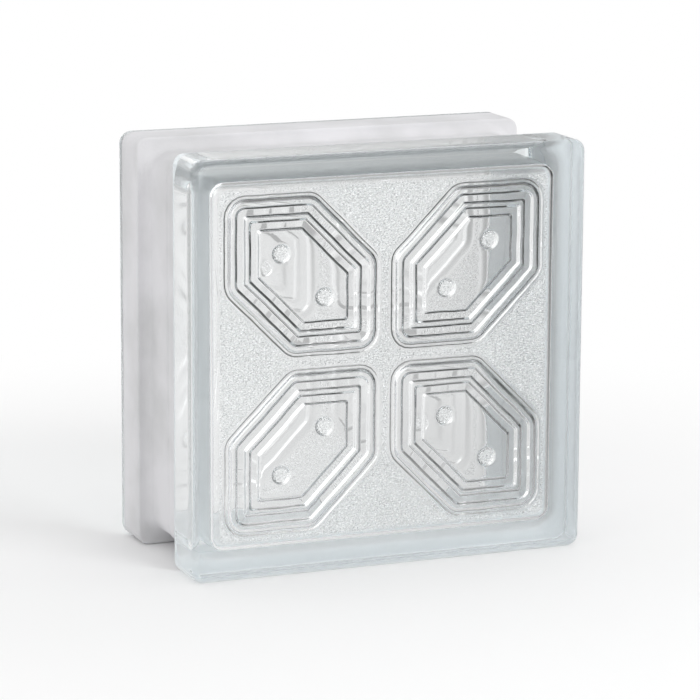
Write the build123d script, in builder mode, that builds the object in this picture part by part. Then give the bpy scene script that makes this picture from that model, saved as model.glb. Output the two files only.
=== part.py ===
from build123d import *
import math
import os

# A hollow pressed-glass building block: two dished halves fused at the middle into one sealed piece.
# It stands on one edge: X is the width, Y the depth with the front face at -Y, Z is up.
# All lengths are in millimetres.

# Outside
face_size = 190.0             # width and height of each face
depth = 100.0                 # over both faces
face_corner_radius = 5.5      # corner of the face, seen from the front
face_edge_radius = 3.0        # rounding where the face turns into the flange
flange_depth = 26.0           # full-size lip behind each face
flange_rim_bevel = 0.8        # bevel of the flange's edge on the channel
channel_depth = 6.0           # recess of the mortar channel below the flanges
channel_corner_radius = 10.0  # corner of the channel's floor, seen from the front
channel_cove_radius = 4.5     # hollow rounding at the sides of the channel
seam_width = 3.2              # low fused ridge round the middle of the channel
seam_height = 0.6

# Inside
plate_thickness = 13.5        # glass between a face and the ground of its pattern
side_wall = 5.0               # glass under the floor of the channel
cavity_corner_radius = 7.0
cavity_floor_radius = 3.2     # hollow rounding between the ground and the side walls
cavity_draft = 1.0            # degrees

# Pattern pressed into the inside of each face: four hexagons of nested grooves round a clear window
hexagon_spacing = 80.0        # between the centres of neighbouring hexagons
window_half_size = 21.5       # centre to a straight side
window_half_waist = 15.0      # centre to a slanting side
window_edge = 0.6             # edges of window and grooves on the ground, outwards from the window's sides
inner_groove_edges = (2.9, 7.0)
outer_groove_edges = (9.4, 15.0)
outer_corner_radius = 9.0     # corners of the outermost edge
relief_depth = 1.5            # of the grooves and the window below the ground
relief_draft = 40.0           # degrees
boss_diameter = 7.6           # two low bosses in each window
boss_shift = 10.4             # from the hexagon's centre, along X and along Z
boss_draft = 35.0             # degrees

# Derived sizes
half_size = face_size / 2
half_depth = depth / 2
channel_size = face_size - 2 * channel_depth
channel_width = depth - 2 * flange_depth
seam_size = channel_size + 2 * seam_height
seam_slope = math.degrees(math.atan2(2 * seam_height, seam_width))
cavity_size = channel_size - 2 * side_wall
ground_level = half_depth - plate_thickness
outermost_edge = max(outer_groove_edges)

middle = Plane(origin=(0, 0, half_size), x_dir=(1, 0, 0), z_dir=(0, -1, 0))
ground = middle.offset(ground_level)
mid_height = Plane.XY.offset(half_size)
hexagon_centre = (-hexagon_spacing / 2, hexagon_spacing / 2)
boss_centres = [(-boss_shift, boss_shift), (boss_shift, -boss_shift)]


def hexagon_corners(edge):
    """A square with two opposite corners cut off, at a distance outside the window's sides."""
    half = window_half_size + edge
    cut = 2 * half - math.sqrt(2) * (window_half_waist + edge)
    return [(-half, half), (half - cut, half), (half, half - cut),
            (half, -half), (cut - half, -half), (-half, cut - half)]


def hexagon(edge):
    """One hexagon on the ground, at the upper left of the pattern; the outermost has round corners."""
    with BuildSketch(ground, mode=Mode.PRIVATE) as outline:
        with Locations(hexagon_centre):
            Polygon(*hexagon_corners(edge), align=None)
        if edge == outermost_edge:
            fillet(outline.vertices(), outer_corner_radius)
    return outline.sketch


# Body: two full-size flanges on a narrower waist, with coves, rims and the seam's ridge round the middle
with BuildPart() as body:
    with BuildSketch(middle):
        RectangleRounded(channel_size, channel_size, channel_corner_radius)
    extrude(amount=half_depth, both=True)
    with BuildSketch(middle.offset(channel_width / 2), middle.offset(-half_depth)):
        RectangleRounded(face_size, face_size, face_corner_radius)
    extrude(amount=flange_depth)
    channel_sides = body.faces().filter_by(Axis.Y).sort_by(Axis.Y)[1:-1]
    fillet([edge for side in channel_sides for edge in side.inner_wires()[0].edges()], channel_cove_radius)
    channel_sides = body.faces().filter_by(Axis.Y).sort_by(Axis.Y)[1:-1]
    chamfer([edge for side in channel_sides for edge in side.outer_wire().edges()], flange_rim_bevel)
    faces = body.faces().filter_by(Axis.Y).sort_by(Axis.Y)
    fillet(faces[0].edges() + faces[-1].edges(), face_edge_radius)
    with BuildSketch(middle):
        RectangleRounded(seam_size, seam_size, channel_corner_radius + seam_height)
    extrude(amount=seam_width, both=True, taper=seam_slope)

# Relief: the hollows of one hexagon, outermost groove first, then repeated over the front
with BuildPart() as relief:
    for inner_edge, outer_edge in (outer_groove_edges, inner_groove_edges):
        extrude(hexagon(outer_edge), amount=relief_depth, taper=relief_draft)
        extrude(hexagon(inner_edge), amount=relief_depth, taper=-relief_draft, mode=Mode.SUBTRACT)
    extrude(hexagon(window_edge), amount=relief_depth, taper=relief_draft)
    with BuildSketch(ground):
        with Locations(hexagon_centre):
            with Locations(*boss_centres):
                Circle(boss_diameter / 2)
    extrude(amount=relief_depth, taper=-boss_draft, mode=Mode.SUBTRACT)
    mirror(about=Plane.YZ)
    mirror(about=mid_height)

# Cavity: the front half of the sealed hollow, drafted from the seam to the ground, and its mirror image
with BuildPart() as cavity:
    with BuildSketch(middle):
        RectangleRounded(cavity_size, cavity_size, cavity_corner_radius)
    extrude(amount=ground_level)
    draft(cavity.faces().filter_by(Axis.Y, reverse=True), middle, cavity_draft)
    fillet(cavity.faces().sort_by(Axis.Y)[0].edges(), cavity_floor_radius)
    add(relief.part)
    mirror(about=Plane.XZ)

# The block: one fused piece of glass, closed all round
with BuildPart() as glass_block:
    add(body.part)
    add(cavity.part, mode=Mode.SUBTRACT)

glass_block.part.label = "glass_block"
os.makedirs("parts", exist_ok=True)
export_step(glass_block.part, "parts/glass_block.step")
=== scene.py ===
import math

import bmesh
import bpy
import numpy as np
from mathutils import Matrix, Vector, noise
from mathutils.geometry import delaunay_2d_cdt


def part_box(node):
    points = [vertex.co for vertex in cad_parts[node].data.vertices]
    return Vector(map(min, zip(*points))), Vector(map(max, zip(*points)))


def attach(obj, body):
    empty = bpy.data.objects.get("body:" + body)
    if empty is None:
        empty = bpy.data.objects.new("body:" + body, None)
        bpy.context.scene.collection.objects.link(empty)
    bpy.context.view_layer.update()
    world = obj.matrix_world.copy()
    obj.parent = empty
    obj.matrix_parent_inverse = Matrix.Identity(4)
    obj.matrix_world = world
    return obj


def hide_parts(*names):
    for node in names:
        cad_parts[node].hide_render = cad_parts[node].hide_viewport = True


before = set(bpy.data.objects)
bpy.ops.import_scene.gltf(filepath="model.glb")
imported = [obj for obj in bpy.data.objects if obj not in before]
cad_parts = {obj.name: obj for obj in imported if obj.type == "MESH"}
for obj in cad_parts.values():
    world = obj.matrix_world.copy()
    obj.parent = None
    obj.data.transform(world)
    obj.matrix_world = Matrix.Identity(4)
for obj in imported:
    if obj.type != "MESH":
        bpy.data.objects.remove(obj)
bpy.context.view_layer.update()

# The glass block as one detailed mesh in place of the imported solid, on a white studio floor.
# Sizes are in millimetres and are turned into metres where a mesh is made.
MM = 0.001
box_low, box_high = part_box("glass_block")

# Outside
HALF_SIZE = (box_high.x - box_low.x) / 2 / MM
HALF_DEPTH = (box_high.y - box_low.y) / 2 / MM
MID_HEIGHT = (box_high.z + box_low.z) / 2 / MM
FACE_CORNER_RADIUS = 5.5
FACE_EDGE_RADIUS = 3.0
FLANGE_DEPTH = 26.0
FLANGE_RIM_RADIUS = 1.2
CHANNEL_DEPTH = 6.0
CHANNEL_CORNER_RADIUS = 10.0
CHANNEL_COVE_RADIUS = 4.5
SEAM_WIDTH = 3.2
SEAM_HEIGHT = 0.6

# Inside
PLATE_THICKNESS = 13.5
SIDE_WALL = 5.0
CAVITY_CORNER_RADIUS = 7.0
CAVITY_FLOOR_RADIUS = 3.2
CAVITY_DRAFT = 1.0            # degrees

# Pressed pattern; an edge is given as its distance outside the window's sides
HEXAGON_SPACING = 80.0
WINDOW_HALF_SIZE = 21.5
WINDOW_HALF_WAIST = 15.0
WINDOW_EDGE = 0.6
INNER_GROOVE_EDGES = (2.9, 7.0)
OUTER_GROOVE_EDGES = (9.4, 15.0)
OUTER_CORNER_RADIUS = 9.0
SMALLEST_CORNER_RADIUS = 1.4
RELIEF_DEPTH = 1.5
RELIEF_WALL = 1.7             # width of a groove's rounded wall, seen from the front
OUTERMOST_WALL = 2.1          # the same for the front's outermost wall, which rises to the bead
BACK_RELIEF_WALL = 3.4        # the same on the back half, which shows only as broad soft streaks
BEAD_HEIGHT = 0.8             # a low bead runs round each hexagon of the front
BEAD_EDGES = (14.4, 16.0)     # from the top of the outermost wall to the ground
BEAD_WALL = 1.0               # width of its outer wall
BOSS_DIAMETER = 7.6
BOSS_SHIFT = 10.4
BOSS_WALL = 2.0

# Pressed texture; frequencies are per millimetre, across and up
FRONT_SEED, BACK_SEED = 3.0, 11.0
WARP = 0.25                   # waviness of the pattern's lines
WARP_FREQUENCY = 0.11
WARP_MARGIN = 4.0             # it fades out this near the edge of the ground
STIPPLE_HEIGHTS = (0.05, 0.03)          # of the coarse and of the fine grain
STIPPLE_FREQUENCIES = (0.42, 0.62)
FINE_GRAIN = 2.3              # frequency of the fine grain, beside the coarse one's
STIPPLE_MARGIN = 1.5          # the stipple reaches its full height this far from the ground's edges
WINDOW_WAVE = 0.05            # height of the window's slow waves
WINDOW_WAVE_FREQUENCIES = (0.05, 0.03)
WINDOW_WAVE_MARGIN = 3.0

# Finish along the surface: haze is roughness, milk is whiteness
COATED = 1                    # haze that marks the rows under the matt coat
FLANGE_HAZE = 0.06            # of the flanges' sides
SIDE_HAZE = 0.22              # of the cavity's sides
FOOT_HAZE = 0.4               # of the scuffed lower edges that the block stands on
SCUFF_HEIGHT = 4.5            # the scuffing ends this far above the floor
GROUND_HAZE = 0.20            # of the stippled ground
BOSS_STIPPLE = 0.7            # coarseness of the bosses' tops, beside the ground's
BOSS_MILK = 0.75              # and their whiteness
BACK_MILK = 0.5               # whiteness of the back half's ground, beside the front's
MILK_MARGIN = 2.5             # the ground is fully white this far from its edges

# Fineness of the mesh
SIDE_POINTS = 34
CORNER_STEPS = 8
ARC_STEPS = 6
HEXAGON_SIDE_POINTS = 13
HEXAGON_CORNER_STEPS = 5
WALL_STEPS = 7
BOSS_POINTS = 40
BOSS_RINGS = 7
BOSS_CLEARANCE = 0.5          # loose points keep this far from a boss's wall
GROUND_SPACING = 1.05
WINDOW_SPACING = 2.4
SHAKE_SHARE = 0.32            # of the spacing
RIM_CLEARANCE_SHARE = 0.6     # of the spacing: loose points keep this far from the rim of the ground
RING_CLEARANCE_SHARE = 0.5    # and this far from a hexagon's outline
EDGE_DIGITS = 4               # edges that agree to this many digits share a ring
MERGE_DISTANCE = 1e-6         # within a triangulation
WELD_DISTANCE = 2e-6          # metres
TINY = 1e-20                  # keeps a division by nothing harmless

GLASS, COAT = 0, 1            # materials of the mesh
GROUND_LEVEL = HALF_DEPTH - PLATE_THICKNESS
OUTERMOST_EDGE = max(OUTER_GROOVE_EDGES)


def smooth(t):
    """An eased step from 0 to 1."""
    t = np.clip(t, 0, 1)
    return t * t * (3 - 2 * t)


def rounded_polygon(corners, radius, side_points, corner_steps):
    """Points round a polygon with rounded corners, in order; as many for any size of the same polygon."""
    corners = np.array(corners, float)
    points = []
    count = len(corners)
    for i in range(count):
        here = corners[i]
        back = corners[i - 1] - here
        ahead = corners[(i + 1) % count] - here
        back /= np.linalg.norm(back)
        ahead /= np.linalg.norm(ahead)
        half_angle = math.acos(np.clip(back @ ahead, -1, 1)) / 2
        bisector = (back + ahead) / np.linalg.norm(back + ahead)
        centre = here + bisector * radius / math.sin(half_angle)
        start = here + back * radius / math.tan(half_angle) - centre
        turn = math.pi - 2 * half_angle
        sign = math.copysign(1, back[1] * ahead[0] - back[0] * ahead[1])
        for angle in np.linspace(0, sign * turn, corner_steps + 1):
            c, s = math.cos(angle), math.sin(angle)
            points.append(centre + (start[0] * c - start[1] * s, start[0] * s + start[1] * c))
    points = np.array(points).reshape(count, corner_steps + 1, 2)
    ring = []
    for i in range(count):
        ring.extend(points[i])
        a, b = points[i, -1], points[(i + 1) % count, 0]
        ring.extend(a + (b - a) * t for t in np.linspace(0, 1, side_points + 2)[1:-1])
    return np.array(ring)


def rounded_square(half, radius):
    corners = [(half, half), (-half, half), (-half, -half), (half, -half)]
    return rounded_polygon(corners, radius, SIDE_POINTS, CORNER_STEPS)


class MeshParts:
    """Collects points in millimetres round the block's middle, their finish, and faces by material."""

    def __init__(self):
        self.points, self.faces, self.materials = [], [], []
        self.finish = {"stipple": [], "haze": [], "milk": []}

    def add_points(self, x, y, z, **finish):
        first = len(self.points)
        block = np.column_stack(np.broadcast_arrays(x, y, z))
        self.points.extend(block)
        for name, values in self.finish.items():
            values.extend(np.broadcast_to(finish.get(name, 0.0), len(block)))
        return np.arange(first, first + len(block))

    def add_face(self, corners, material=GLASS, turned=False):
        corners = [int(c) for c in corners]
        self.faces.append(corners[::-1] if turned else corners)
        self.materials.append(material)

    def bridge(self, ring_a, ring_b, material=GLASS, turned=False):
        for i in range(len(ring_a)):
            self.add_face((ring_a[i - 1], ring_a[i], ring_b[i], ring_b[i - 1]), material, turned)


def quarter_turn(steps):
    return np.linspace(0, math.pi / 2, steps + 1)


def outside_rows():
    """(half-size, corner radius, y, haze) from the edge of the front face to the middle of the channel."""
    rows = []
    face_half = HALF_SIZE - FACE_EDGE_RADIUS
    for a in quarter_turn(ARC_STEPS):
        out = FACE_EDGE_RADIUS * math.sin(a)
        rows.append((face_half + out, FACE_CORNER_RADIUS - FACE_EDGE_RADIUS + out,
                     -HALF_DEPTH + FACE_EDGE_RADIUS * (1 - math.cos(a)), 0))
    lip = -HALF_DEPTH + FLANGE_DEPTH
    rows.append((HALF_SIZE, FACE_CORNER_RADIUS, -HALF_DEPTH + 2 * FACE_EDGE_RADIUS, FLANGE_HAZE))
    for a in quarter_turn(ARC_STEPS):
        inset = FLANGE_RIM_RADIUS * (1 - math.cos(a))
        rows.append((HALF_SIZE - inset, FACE_CORNER_RADIUS - inset,
                     lip - FLANGE_RIM_RADIUS * (1 - math.sin(a)), FLANGE_HAZE if a == 0 else COATED))
    floor_half = HALF_SIZE - CHANNEL_DEPTH
    for a in quarter_turn(ARC_STEPS):
        out = CHANNEL_COVE_RADIUS * (1 - math.sin(a))
        rows.append((floor_half + out, CHANNEL_CORNER_RADIUS + out,
                     lip + CHANNEL_COVE_RADIUS * (1 - math.cos(a)), COATED))
    for t in np.linspace(0, 1, ARC_STEPS + 1):
        rise = SEAM_HEIGHT * smooth(t)
        rows.append((floor_half + rise, CHANNEL_CORNER_RADIUS + rise, (t - 1) * SEAM_WIDTH / 2, COATED))
    return rows


def cavity_rows():
    """(half-size, corner radius, y, haze) from the edge of the front ground to the middle of the cavity."""
    slope = math.tan(math.radians(CAVITY_DRAFT))
    foot = GROUND_LEVEL - CAVITY_FLOOR_RADIUS
    cavity_half = HALF_SIZE - CHANNEL_DEPTH - SIDE_WALL
    rows = []
    for a in quarter_turn(ARC_STEPS):
        inset = slope * foot + CAVITY_FLOOR_RADIUS * (1 - math.sin(a))
        rows.append((cavity_half - inset, CAVITY_CORNER_RADIUS - inset,
                     -foot - CAVITY_FLOOR_RADIUS * math.cos(a), 0))
    rows.append((cavity_half, CAVITY_CORNER_RADIUS, -foot / 2, SIDE_HAZE))
    rows.append((cavity_half, CAVITY_CORNER_RADIUS, 0.0, SIDE_HAZE))
    return rows


def back_rows(rows, coated):
    """The mirror image of the rows but the middle one; coated, it has the coat on its flange's side too."""
    return [(half, radius, -y, COATED if coated and haze == FLANGE_HAZE else haze)
            for half, radius, y, haze in reversed(rows[:-1])]


def add_rows(parts, rows, inward):
    """Sweeps the rows and their mirror image round the block; returns the first and the last ring.
    A band between two coated rows takes the coat. The outside is scuffed near the floor."""
    rings = []
    for half, radius, y, haze in rows + back_rows(rows, coated=not inward):
        outline = rounded_square(half, radius)
        scuffed = smooth((SCUFF_HEIGHT - HALF_SIZE - outline[:, 1]) / FACE_EDGE_RADIUS)
        ring_haze = np.maximum(haze, 0 if inward else FOOT_HAZE * scuffed)
        rings.append((parts.add_points(outline[:, 0], y, outline[:, 1], haze=ring_haze), haze))
    for (ring, haze), (new, new_haze) in zip(rings, rings[1:]):
        material = COAT if haze == new_haze == COATED else GLASS
        parts.bridge(ring, new, material, turned=not inward)
    return rings[0][0], rings[-1][0]


def hexagon_ring(edge):
    """The hexagon's outline at a distance outside its window: a square with two corners cut."""
    half = WINDOW_HALF_SIZE + edge
    cut = 2 * half - math.sqrt(2) * (WINDOW_HALF_WAIST + edge)
    corners = [(-half, half), (-half, cut - half), (cut - half, -half),
               (half, -half), (half, half - cut), (half - cut, half)]
    radius = max(SMALLEST_CORNER_RADIUS, OUTER_CORNER_RADIUS - (OUTERMOST_EDGE - edge))
    return rounded_polygon(corners, radius, HEXAGON_SIDE_POINTS, HEXAGON_CORNER_STEPS)


def relief_walls(side):
    """The pattern's walls from the window outwards, each as the edges of its top and its foot."""
    wall = RELIEF_WALL if side < 0 else BACK_RELIEF_WALL
    tops = (WINDOW_EDGE, *INNER_GROOVE_EDGES, *OUTER_GROOVE_EDGES)
    walls = [(top, top + fall * wall) for top, fall in zip(tops, (-1, 1, -1, 1, -1))]
    if side < 0:
        walls[-1] = (BEAD_EDGES[0], BEAD_EDGES[0] - OUTERMOST_WALL)
    return walls


def relief_depth(edge, side):
    """Depth of the pattern below the ground; the front's bead stands above the ground."""
    falls = [smooth((edge - top) / (foot - top)) for top, foot in relief_walls(side)]
    window, inner, inner_far, outer, outer_far = falls
    depth = RELIEF_DEPTH * (window + inner * inner_far + outer * outer_far)
    if side < 0:
        depth -= BEAD_HEIGHT * (1 - outer_far) * smooth((BEAD_EDGES[1] - edge) / BEAD_WALL)
    return depth


def relief_edges(side):
    """Edges at which the pattern needs a ring of points, from the outside in."""
    walls = relief_walls(side)
    if side < 0:
        walls.append((BEAD_EDGES[1] - BEAD_WALL, BEAD_EDGES[1]))
    edges = {round(edge, EDGE_DIGITS) for wall in walls for edge in np.linspace(*wall, WALL_STEPS + 1)}
    return sorted(edges, reverse=True)


def boss_height(distance):
    return RELIEF_DEPTH * smooth((BOSS_DIAMETER / 2 + BOSS_WALL / 2 - distance) / BOSS_WALL)


def stipple_height(x, z, seed):
    """Fine pressed texture of the ground, in millimetres."""
    across, up = STIPPLE_FREQUENCIES
    coarse, fine = STIPPLE_HEIGHTS
    p = Vector((x * across, z * up, seed))
    return coarse * noise.noise(p) + fine * noise.noise(p * FINE_GRAIN)


def window_wave(x, z, seed):
    """Slow waviness of the pressed window, in millimetres."""
    across, up = WINDOW_WAVE_FREQUENCIES
    return WINDOW_WAVE * noise.noise(Vector((x * across, z * up, seed)))


def warp(points, seed):
    """Shift of points of the pattern, in millimetres: the mould's lines run slightly wavy in the glass."""
    noise.seed_set(int(seed))
    shifts = [noise.noise_vector(Vector((x, z, seed)) * WARP_FREQUENCY) for x, z in points]
    return WARP * np.array([(s.x, s.y) for s in shifts])


def triangulate(loops, inner_points):
    """Triangles between outlines and through loose points; the first loop is the outer one."""
    points, edges, first = [], [], 0
    for loop in loops:
        count = len(loop)
        points.extend(Vector(p) for p in loop)
        edges.extend((first + i, first + (i + 1) % count) for i in range(count))
        first += count
    points.extend(Vector(p) for p in inner_points)
    inside_only = 1
    verts, _, faces, *_ = delaunay_2d_cdt(points, edges, [], inside_only, MERGE_DISTANCE)
    return np.array([tuple(v) for v in verts]), faces


def signed_distance(points, outline):
    """Distance of points outside a closed outline, negative inside it."""
    best = np.full(len(points), np.inf)
    inside = np.zeros(len(points), bool)
    for p, q in zip(outline, np.roll(outline, -1, axis=0)):
        d = q - p
        t = np.clip(((points - p) @ d) / max(d @ d, TINY), 0, 1)
        best = np.minimum(best, np.linalg.norm(points - p - t[:, None] * d, axis=1))
        crosses = (p[1] > points[:, 1]) != (q[1] > points[:, 1])
        with np.errstate(divide="ignore", invalid="ignore"):
            at = p[0] + (points[:, 1] - p[1]) / (q[1] - p[1]) * d[0]
        inside ^= crosses & (points[:, 0] < at)
    return np.where(inside, -best, best)


def distance_outside(points, outlines):
    """Distance of points outside the nearest of several outlines."""
    return np.min([signed_distance(points, outline) for outline in outlines], axis=0)


def scatter(half, spacing, seed):
    """Points on a shaken grid over a square."""
    random = np.random.default_rng(seed)
    steps = np.arange(-half, half + spacing, spacing)
    grid = np.stack(np.meshgrid(steps, steps), axis=-1).reshape(-1, 2)
    return grid + random.uniform(-SHAKE_SHARE, SHAKE_SHARE, grid.shape) * spacing


def add_panel(parts, side, rim):
    """The pressed inside of one face; side is -1 for the front and 1 for the back."""
    seed = FRONT_SEED if side < 0 else BACK_SEED
    first = len(parts.points)
    boundary = np.array([parts.points[i] for i in rim])[:, [0, 2]]
    outlines = [add_hexagon(parts, side, sx, sz, seed) for sx in (-1, 1) for sz in (-1, 1)]
    add_ground(parts, side, boundary, outlines, seed)
    points = np.array(parts.points[first:])
    flat = points[:, [0, 2]]
    fade = smooth(-signed_distance(flat, boundary) / WARP_MARGIN)
    points[:, [0, 2]] += warp(flat, seed) * fade[:, None]
    parts.points[first:] = points


def add_hexagon(parts, side, sx, sz, seed):
    """The grooves and the window of one hexagon; returns its outline on the ground."""
    centre = np.array([sx, sz]) * HEXAGON_SPACING / 2
    edges = relief_edges(side)
    outlines = [hexagon_ring(edge) * (-sx, sz) + centre for edge in edges]
    rings = []
    for edge, outline in zip(edges, outlines):
        level = GROUND_LEVEL + relief_depth(edge, side)
        rings.append(parts.add_points(outline[:, 0], side * level, outline[:, 1]))
    mirrored = sx * sz > 0
    for ring, new in zip(rings, rings[1:]):
        parts.bridge(ring, new, turned=(side < 0) != mirrored)
    add_window(parts, side, outlines[-1], centre, sx * sz, seed)
    return outlines[0]


def add_window(parts, side, outline, centre, lean, seed):
    """The clear window of one hexagon with its two bosses."""
    radii = np.linspace(-0.5, 0.5, BOSS_RINGS) * BOSS_WALL + BOSS_DIAMETER / 2
    around = np.arange(BOSS_POINTS) * 2 * math.pi / BOSS_POINTS
    circle = np.column_stack((np.cos(around), np.sin(around)))
    boss_centres = [centre + np.array([1, lean]) * s * BOSS_SHIFT for s in (-1, 1)]
    loops = [outline] + [c + circle * r for c in boss_centres for r in radii]
    loose = scatter(WINDOW_HALF_SIZE, WINDOW_SPACING, int(seed) + 1) + centre
    keep = signed_distance(loose, outline) < -RING_CLEARANCE_SHARE * WINDOW_SPACING
    for c in boss_centres:
        distance = np.linalg.norm(loose - c, axis=1)
        keep &= (distance > radii[-1] + BOSS_CLEARANCE) | (distance < radii[0] - BOSS_CLEARANCE)
    verts, faces = triangulate(loops, loose[keep])
    fade = smooth(-signed_distance(verts, outline) / WINDOW_WAVE_MARGIN)
    depths = RELIEF_DEPTH + fade * np.array([window_wave(x, z, seed) for x, z in verts])
    tops = np.zeros(len(verts))
    for c in boss_centres:
        height = boss_height(np.linalg.norm(verts - c, axis=1))
        depths -= height
        tops += smooth(2 * height / RELIEF_DEPTH - 1)
    new = parts.add_points(verts[:, 0], side * (GROUND_LEVEL + depths), verts[:, 1],
                           stipple=BOSS_STIPPLE * tops, haze=GROUND_HAZE * tops, milk=BOSS_MILK * tops)
    for face in faces:
        parts.add_face([new[i] for i in face], turned=side < 0)


def add_ground(parts, side, boundary, outlines, seed):
    """The stippled ground between the hexagons and out to its rim."""
    loose = scatter(np.abs(boundary).max(), GROUND_SPACING, int(seed))
    keep = signed_distance(loose, boundary) < -RIM_CLEARANCE_SHARE * GROUND_SPACING
    keep &= distance_outside(loose, outlines) > RING_CLEARANCE_SHARE * GROUND_SPACING
    verts, faces = triangulate([boundary, *outlines], loose[keep])
    margin = np.minimum(-signed_distance(verts, boundary), distance_outside(verts, outlines))
    milk = smooth(margin / MILK_MARGIN) * (1 if side < 0 else BACK_MILK)
    fade = smooth(margin / STIPPLE_MARGIN)
    heights = np.array([stipple_height(x, z, seed) for x, z in verts]) * fade
    new = parts.add_points(verts[:, 0], side * (GROUND_LEVEL + heights), verts[:, 1],
                           stipple=fade, haze=GROUND_HAZE * fade, milk=milk)
    middles = np.array([verts[list(face)].mean(axis=0) for face in faces])
    for face, distance in zip(faces, distance_outside(middles, outlines)):
        if distance > 0:
            parts.add_face([new[i] for i in face], turned=side < 0)


def make_block():
    """The whole block as one closed mesh: outside, cavity, and the pressed panels that close the cavity."""
    parts = MeshParts()
    front_rim, back_rim = add_rows(parts, outside_rows(), inward=False)
    parts.add_face(front_rim)
    parts.add_face(back_rim, turned=True)
    front_ground, back_ground = add_rows(parts, cavity_rows(), inward=True)
    add_panel(parts, -1, front_ground)
    add_panel(parts, 1, back_ground)
    points = (np.array(parts.points) + (0, 0, MID_HEIGHT)) * MM
    mesh = bpy.data.meshes.new("glass_block_pressed")
    mesh.from_pydata(points.tolist(), [], parts.faces)
    mesh.polygons.foreach_set("material_index", parts.materials)
    for name, values in parts.finish.items():
        attribute = mesh.attributes.new(name, "FLOAT", "POINT")
        attribute.data.foreach_set("value", np.array(values, np.float32))
    block = bpy.data.objects.new("glass_block_pressed", mesh)
    bpy.context.scene.collection.objects.link(block)
    weld(mesh)
    smooth_by_area(mesh)
    return block


def weld(mesh):
    """Joins the outlines that two patches of the mesh share."""
    bm = bmesh.new()
    bm.from_mesh(mesh)
    bmesh.ops.remove_doubles(bm, verts=bm.verts, dist=WELD_DISTANCE)
    bm.to_mesh(mesh)
    bm.free()


def smooth_by_area(mesh):
    """Smooth normals in which large flat faces outweigh the small ones beside them."""
    mesh.calc_loop_triangles()
    corners = np.empty(len(mesh.loop_triangles) * 3, np.int32)
    mesh.loop_triangles.foreach_get("vertices", corners)
    corners = corners.reshape(-1, 3)
    co = np.empty(len(mesh.vertices) * 3, np.float32)
    mesh.vertices.foreach_get("co", co)
    co = co.reshape(-1, 3).astype(float)
    areas = np.cross(co[corners[:, 1]] - co[corners[:, 0]], co[corners[:, 2]] - co[corners[:, 0]])
    normals = np.zeros_like(co)
    for k in range(3):
        np.add.at(normals, corners[:, k], areas)
    normals /= np.maximum(np.linalg.norm(normals, axis=1, keepdims=True), TINY)
    mesh.polygons.foreach_set("use_smooth", np.ones(len(mesh.polygons), bool))
    mesh.normals_split_custom_set_from_vertices(normals.tolist())


# Finish of the glass and of its coat; scales are per metre, bumps in metres
GLASS_IOR = 1.52
GLASS_TINT = (0.62, 0.78, 0.82, 1)
GLASS_DENSITY = 2.6           # absorption per metre
SHADOW_TINT = (0.98, 0.988, 0.987, 1)
STIPPLE_SCALE = 1700
STIPPLE_STRETCH = (0.5, 1, 1)
STIPPLE_DETAIL = 2
STIPPLE_BUMP = 0.0010
STIPPLE_MILK = 0.82           # white share of the stipple's peaks
PEAK_FROM, PEAK_TO = 0.35, 0.65
WAVE_SCALE = 45
WAVE_DETAIL = 1
WAVE_BUMP = 0.00015
COAT_THIN = (0.64, 0.64, 0.65, 1)
COAT_THICK = (0.76, 0.755, 0.775, 1)
COAT_THIN_AT, COAT_THICK_AT = 0.34, 0.62
COAT_UNDER_PAINTED_LIGHT = (0.95, 0.96, 0.97, 1)      # the coat seen through the glass, painted lighter: painted light inside the glass
RIM_UNDER_PAINTED_SHADE = (0.68, 0.715, 0.735, 1)     # the same on the flanges' walls to the channel, which face front or back, painted darker: painted shade
COAT_ROUGHNESS = (0.5, 0.7)
COAT_CLOUD_SCALE = 30
COAT_CLOUD_DETAIL = 3
COAT_GRAIN_SCALE = 900
COAT_GRAIN_DETAIL = 2
COAT_BUMP = 0.00012

# Studio, in metres
WHITE = (1, 1, 1, 1)
FLOOR_DROP = 0.0002           # keeps the floor clear of the glass that stands on it
FLOOR_FRONT = -0.42           # the white floor ends here, out of the picture
FLOOR_REACH = 8.0
FLOOR_COLOR = (0.93, 0.93, 0.93, 1)
WHITE_FROM, WHITE_TO = 0.16, 0.45       # the floor turns from matt to plain white over this
NEAR_FROM, NEAR_TO, NEAR_SHADE_LEVEL = 0.10, 0.50, 0.87   # in the glass the floor is darker near the block: a painted shade
TURN_CENTRE = (-0.21, -0.5, 0)          # and it changes with the direction from here: painted light and shade
TURN_RANGE = (-90, 90)                  # degrees, left to right
FLOOR_LEVELS = ((-60, 0.6), (-12, 0.94), (12, 1.0), (26, 0.85), (38, 0.5), (60, 0.3))   # by degrees
BRIGHT_SIDE = Vector((-0.78, 0.58, 0.20)).normalized()
COSINE_RANGE = (-1, 1)
ROOM_LEVELS = ((-0.6, 0.02), (-0.25, 0.48), (0.2, 0.52), (0.65, 1.60))   # by the cosine to the bright side
SOFT_LIGHT = 0.88             # on matt surfaces
INNER_LIGHT, INNER_TOP = 2.4, 0.70      # the same in the glass, from the sides and below and from the top
MATT_BOUNCE = 0.5             # parts the rays that have met a matt surface from those that haven't
KEY_PLACE = (0.6, -1.35, 0.85)
KEY_TARGET = (0, 0, 0.1)
KEY_SIZE = 1.0
KEY_POWER = 9.5               # watts
MAX_BOUNCES = 32
GLOSSY_BOUNCES = 16
DIFFUSE_BOUNCES = 6


def add_node(tree, kind, values=None, links=None, **settings):
    """A shader node with its settings, socket values and incoming links."""
    node = tree.nodes.new(kind)
    for name, value in settings.items():
        setattr(node, name, value)
    for socket, value in (values or {}).items():
        node.inputs[socket].default_value = value
    for socket, source in (links or {}).items():
        tree.links.new(source, node.inputs[socket])
    return node


def add_math(tree, operation, *sources):
    """The result of one arithmetic step over sockets and plain numbers."""
    node = add_node(tree, "ShaderNodeMath", operation=operation)
    for socket, source in zip(node.inputs, sources):
        if isinstance(source, bpy.types.NodeSocket):
            tree.links.new(source, socket)
        else:
            socket.default_value = source
    return node.outputs[0]


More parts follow.
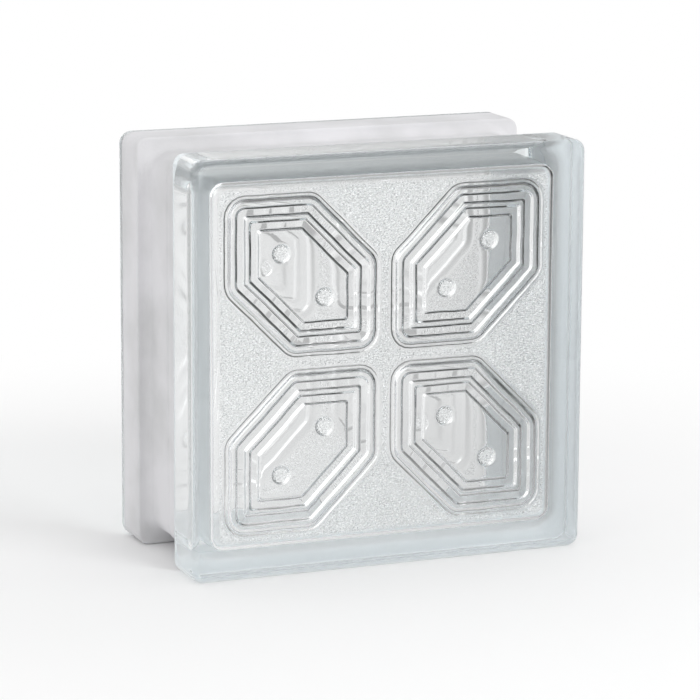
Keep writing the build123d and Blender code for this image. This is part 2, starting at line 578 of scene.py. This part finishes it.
def add_noise(tree, where, scale, detail):
    node = add_node(tree, "ShaderNodeTexNoise", {"Scale": scale, "Detail": detail}, {"Vector": where})
    return node.outputs["Fac"]


def add_ramp(tree, value, low, high, levels):
    """Eased brightness levels over a value that runs from low to high."""
    part = add_node(tree, "ShaderNodeMapRange", {"From Min": low, "From Max": high}, {"Value": value})
    node = add_node(tree, "ShaderNodeValToRGB", links={"Fac": part.outputs[0]})
    node.color_ramp.interpolation = "EASE"
    while len(node.color_ramp.elements) < len(levels):
        node.color_ramp.elements.new(0)
    for element, (at, level) in zip(node.color_ramp.elements, levels):
        element.position = (at - low) / (high - low)
        element.color = (level, level, level, 1)
    return node.outputs["Color"]


def new_material(name):
    material = bpy.data.materials.new(name)
    material.use_nodes = True
    material.node_tree.nodes.clear()
    return material, material.node_tree


def glass_material():
    """Clear pressed glass, faintly wavy all over; hazy, stippled and white on its peaks where marked.
    It is lightly tinted by its thickness, and lets shadow rays straight through."""
    material, tree = new_material("pressed_glass")
    haze, stipple, milk = (add_node(tree, "ShaderNodeAttribute", attribute_name=name).outputs["Fac"]
                           for name in ("haze", "stipple", "milk"))
    where = add_node(tree, "ShaderNodeTexCoord").outputs["Object"]
    rows = add_node(tree, "ShaderNodeMapping", {"Scale": STIPPLE_STRETCH}, {"Vector": where})
    grain = add_noise(tree, rows.outputs[0], STIPPLE_SCALE, STIPPLE_DETAIL)
    swell = add_noise(tree, where, WAVE_SCALE, WAVE_DETAIL)
    wavy = add_node(tree, "ShaderNodeBump", {"Distance": WAVE_BUMP}, {"Height": swell})
    bump = add_node(tree, "ShaderNodeBump", {"Distance": STIPPLE_BUMP},
                    {"Strength": stipple, "Height": grain, "Normal": wavy.outputs[0]})
    peaks = add_node(tree, "ShaderNodeMapRange",
                     {"From Min": PEAK_FROM, "From Max": PEAK_TO, "To Max": STIPPLE_MILK}, {"Value": grain})
    white = add_math(tree, "MULTIPLY", peaks.outputs[0], milk)
    clearness = add_math(tree, "SUBTRACT", 1, white)
    glass = add_node(tree, "ShaderNodeBsdfPrincipled", {"Base Color": WHITE, "IOR": GLASS_IOR},
                     {"Roughness": haze, "Normal": bump.outputs[0], "Transmission Weight": clearness})
    clear = add_node(tree, "ShaderNodeBsdfTransparent", {"Color": SHADOW_TINT})
    shadow = add_node(tree, "ShaderNodeLightPath").outputs["Is Shadow Ray"]
    mix = add_node(tree, "ShaderNodeMixShader", links={0: shadow, 1: glass.outputs[0], 2: clear.outputs[0]})
    absorb = add_node(tree, "ShaderNodeVolumeAbsorption", {"Color": GLASS_TINT, "Density": GLASS_DENSITY})
    add_node(tree, "ShaderNodeOutputMaterial",
             links={"Surface": mix.outputs[0], "Volume": absorb.outputs[0]})
    return material


def frosted_material():
    """The matt white coat of the mortar channel and the back flange's sides, sprayed a little unevenly.
    Seen from inside the glass its colour is painted lighter, a painted light, and less so on the flanges'
    walls to the channel, which face front or back: a painted shade."""
    material, tree = new_material("frosted_channel")
    where = add_node(tree, "ShaderNodeTexCoord").outputs["Object"]
    cloud = add_noise(tree, where, COAT_CLOUD_SCALE, COAT_CLOUD_DETAIL)
    color = add_node(tree, "ShaderNodeValToRGB", links={"Fac": cloud})
    ends = zip(color.color_ramp.elements, (COAT_THIN_AT, COAT_THICK_AT), (COAT_THIN, COAT_THICK))
    for element, position, shade in ends:
        element.position = position
        element.color = shade
    sleek, dull = COAT_ROUGHNESS
    rough = add_node(tree, "ShaderNodeMapRange", {"To Min": sleek, "To Max": dull}, {"Value": cloud})
    grain = add_noise(tree, where, COAT_GRAIN_SCALE, COAT_GRAIN_DETAIL)
    bump = add_node(tree, "ShaderNodeBump", {"Distance": COAT_BUMP}, {"Height": grain})
    shape = add_node(tree, "ShaderNodeNewGeometry").outputs
    lean = add_node(tree, "ShaderNodeSeparateXYZ", links={0: shape["Normal"]})
    rim = add_math(tree, "ABSOLUTE", lean.outputs["Y"])
    # painted light and shade: the coat seen from inside is given a lighter colour, darker where it faces
    # front or back
    painted_underside = add_node(tree, "ShaderNodeMixRGB", {"Color1": COAT_UNDER_PAINTED_LIGHT, "Color2": RIM_UNDER_PAINTED_SHADE}, {"Fac": rim})
    coat_or_painted_underside = add_node(tree, "ShaderNodeMixRGB", links={
        "Fac": shape["Backfacing"], "Color1": color.outputs[0], "Color2": painted_underside.outputs[0]})
    coat = add_node(tree, "ShaderNodeBsdfPrincipled", links={
        "Base Color": coat_or_painted_underside.outputs[0], "Roughness": rough.outputs[0], "Normal": bump.outputs[0]})
    add_node(tree, "ShaderNodeOutputMaterial", links={"Surface": coat.outputs[0]})
    return material


def seen_rays(tree):
    """Two switches: on for rays that show the surroundings, straight or in glass, before they meet a matt
    surface; and on for rays straight from the camera."""
    path = add_node(tree, "ShaderNodeLightPath").outputs
    mirrored = add_math(tree, "MAXIMUM", path["Is Camera Ray"], path["Is Glossy Ray"])
    shown = add_math(tree, "MAXIMUM", mirrored, path["Is Transmission Ray"])
    direct = add_math(tree, "LESS_THAN", path["Diffuse Depth"], MATT_BOUNCE)
    return add_math(tree, "MULTIPLY", shown, direct), path["Is Camera Ray"]


def floor_material():
    """Matt white near the block, plain white further off; in the glass it glows by place and direction, a
    painted light and shade.
    """
    material, tree = new_material("white_floor")
    matt = add_node(tree, "ShaderNodeBsdfDiffuse", {"Color": FLOOR_COLOR})
    where = add_node(tree, "ShaderNodeNewGeometry").outputs["Position"]
    shifted = add_node(tree, "ShaderNodeVectorMath", {1: TURN_CENTRE}, {0: where}, operation="SUBTRACT")
    across = add_node(tree, "ShaderNodeSeparateXYZ", links={0: shifted.outputs[0]})
    # painted light and shade: the floor seen in the glass is brighter or darker by direction
    turn = add_math(tree, "ARCTAN2", across.outputs["X"], across.outputs["Y"])
    shade = add_ramp(tree, add_math(tree, "DEGREES", turn), *TURN_RANGE, FLOOR_LEVELS)
    length = add_node(tree, "ShaderNodeVectorMath", links={0: where}, operation="LENGTH")
    distance = length.outputs["Value"]
    # painted shade: the floor seen in the glass is darker near the block
    near_shade = add_node(tree, "ShaderNodeMapRange",
                    {"From Min": NEAR_FROM, "From Max": NEAR_TO, "To Min": NEAR_SHADE_LEVEL},
                    {"Value": distance}, interpolation_type="SMOOTHSTEP")
    far = add_node(tree, "ShaderNodeMapRange", {"From Min": WHITE_FROM, "From Max": WHITE_TO},
                   {"Value": distance}, interpolation_type="SMOOTHSTEP")
    seen, camera_ray = seen_rays(tree)
    glass_level = add_math(tree, "MULTIPLY", shade, near_shade.outputs[0])
    level = add_math(tree, "MAXIMUM", glass_level, camera_ray)
    white = add_node(tree, "ShaderNodeEmission", links={"Strength": level})
    in_glass = add_math(tree, "SUBTRACT", 1, camera_ray)
    plain = add_math(tree, "MAXIMUM", far.outputs[0], in_glass)
    share = add_math(tree, "MULTIPLY", plain, seen)
    mix = add_node(tree, "ShaderNodeMixShader", links={0: share, 1: matt.outputs[0], 2: white.outputs[0]})
    add_node(tree, "ShaderNodeOutputMaterial", links={"Surface": mix.outputs[0]})
    return material


def make_floor():
    """The white floor, which keeps the block's shadow."""
    mesh = bpy.data.meshes.new("floor")
    left, right, front, back = -FLOOR_REACH, FLOOR_REACH, FLOOR_FRONT, FLOOR_REACH
    corners = [(left, front), (right, front), (right, back), (left, back)]
    mesh.from_pydata([(x, y, -FLOOR_DROP) for x, y in corners], [], [(0, 1, 2, 3)])
    floor = bpy.data.objects.new("floor", mesh)
    bpy.context.scene.collection.objects.link(floor)
    mesh.materials.append(floor_material())


def make_world():
    """White to the camera; in the glass a room that is bright at the back left and dark opposite.
    Matt surfaces have a soft light, stronger in the glass for the light that a thin coat lets in."""
    world = bpy.data.worlds.new("studio")
    bpy.context.scene.world = world
    world.use_nodes = True
    tree = world.node_tree
    tree.nodes.clear()
    where = add_node(tree, "ShaderNodeTexCoord").outputs["Generated"]
    facing = add_node(tree, "ShaderNodeVectorMath", {1: BRIGHT_SIDE}, {0: where}, operation="DOT_PRODUCT")
    room = add_ramp(tree, facing.outputs["Value"], *COSINE_RANGE, ROOM_LEVELS)
    studio = add_node(tree, "ShaderNodeBackground", links={"Color": room})
    inside = add_node(tree, "ShaderNodeLightPath").outputs["Is Transmission Ray"]
    height = add_node(tree, "ShaderNodeSeparateXYZ", links={0: where})
    inner = add_node(tree, "ShaderNodeMapRange", {"To Min": INNER_LIGHT, "To Max": INNER_TOP},
                     {"Value": height.outputs["Z"]})
    strength = add_node(tree, "ShaderNodeMapRange", {"To Min": SOFT_LIGHT},
                        {"Value": inside, "To Max": inner.outputs[0]})
    soft = add_node(tree, "ShaderNodeBackground", {"Color": WHITE}, {"Strength": strength.outputs[0]})
    white = add_node(tree, "ShaderNodeBackground", {"Color": WHITE})
    seen, camera_ray = seen_rays(tree)
    lit = add_node(tree, "ShaderNodeMixShader", links={0: seen, 1: soft.outputs[0], 2: studio.outputs[0]})
    shown = add_node(tree, "ShaderNodeMixShader",
                     links={0: camera_ray, 1: lit.outputs[0], 2: white.outputs[0]})
    add_node(tree, "ShaderNodeOutputWorld", links={"Surface": shown.outputs[0]})


def make_key():
    """A square lamp at the front right, above the block, that the glass doesn't mirror or show."""
    light = bpy.data.lights.new("key", "AREA")
    light.shape = "RECTANGLE"
    light.size = light.size_y = KEY_SIZE
    light.energy = KEY_POWER
    lamp = bpy.data.objects.new("key", light)
    lamp.location = KEY_PLACE
    lamp.rotation_mode = "QUATERNION"
    lamp.rotation_quaternion = (Vector(KEY_TARGET) - Vector(KEY_PLACE)).to_track_quat("-Z", "Y")
    lamp.visible_glossy = lamp.visible_transmission = False
    bpy.context.scene.collection.objects.link(lamp)


# Camera, to the front left of the block and a little above it
YAW, PITCH, ROLL = 22.49, 11.81, -0.30     # degrees
FOCAL_PIXELS, FRAME_PIXELS, SENSOR = 3567.0, 700.0, 36.0
BLOCK_IN_CAMERA = (-0.1, -5.0, 1643.8)     # the block's middle: right, down, ahead
CLIP_START, CLIP_END = 0.05, 50            # metres


def make_camera():
    yaw, pitch, roll = (math.radians(a) for a in (YAW, PITCH, ROLL))
    ahead = Vector((math.sin(yaw) * math.cos(pitch), math.cos(yaw) * math.cos(pitch), -math.sin(pitch)))
    right = Vector((math.cos(yaw), -math.sin(yaw), 0))
    down = ahead.cross(right)
    c, s = math.cos(roll), math.sin(roll)
    right, down = (right * c + down * s, down * c - right * s)
    rx, ry, rz = BLOCK_IN_CAMERA
    middle = Vector((0, 0, MID_HEIGHT))
    place = (middle - right * rx - down * ry - ahead * rz) * MM
    data = bpy.data.cameras.new("camera")
    data.sensor_width = SENSOR
    data.lens = FOCAL_PIXELS / FRAME_PIXELS * SENSOR
    data.clip_start, data.clip_end = CLIP_START, CLIP_END
    camera = bpy.data.objects.new("camera", data)
    camera.matrix_world = Matrix((
        (right.x, -down.x, -ahead.x, place.x),
        (right.y, -down.y, -ahead.y, place.y),
        (right.z, -down.z, -ahead.z, place.z),
        (0, 0, 0, 1)))
    bpy.context.scene.collection.objects.link(camera)
    bpy.context.scene.camera = camera


block = make_block()
block.data.materials.append(glass_material())
block.data.materials.append(frosted_material())
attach(block, "root")
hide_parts("glass_block")
make_floor()
make_world()
make_key()
make_camera()

scene = bpy.context.scene
scene.view_settings.view_transform = "Standard"
scene.cycles.max_bounces = MAX_BOUNCES
scene.cycles.transmission_bounces = MAX_BOUNCES
scene.cycles.glossy_bounces = GLOSSY_BOUNCES
scene.cycles.diffuse_bounces = DIFFUSE_BOUNCES
scene.cycles.transparent_max_bounces = MAX_BOUNCES
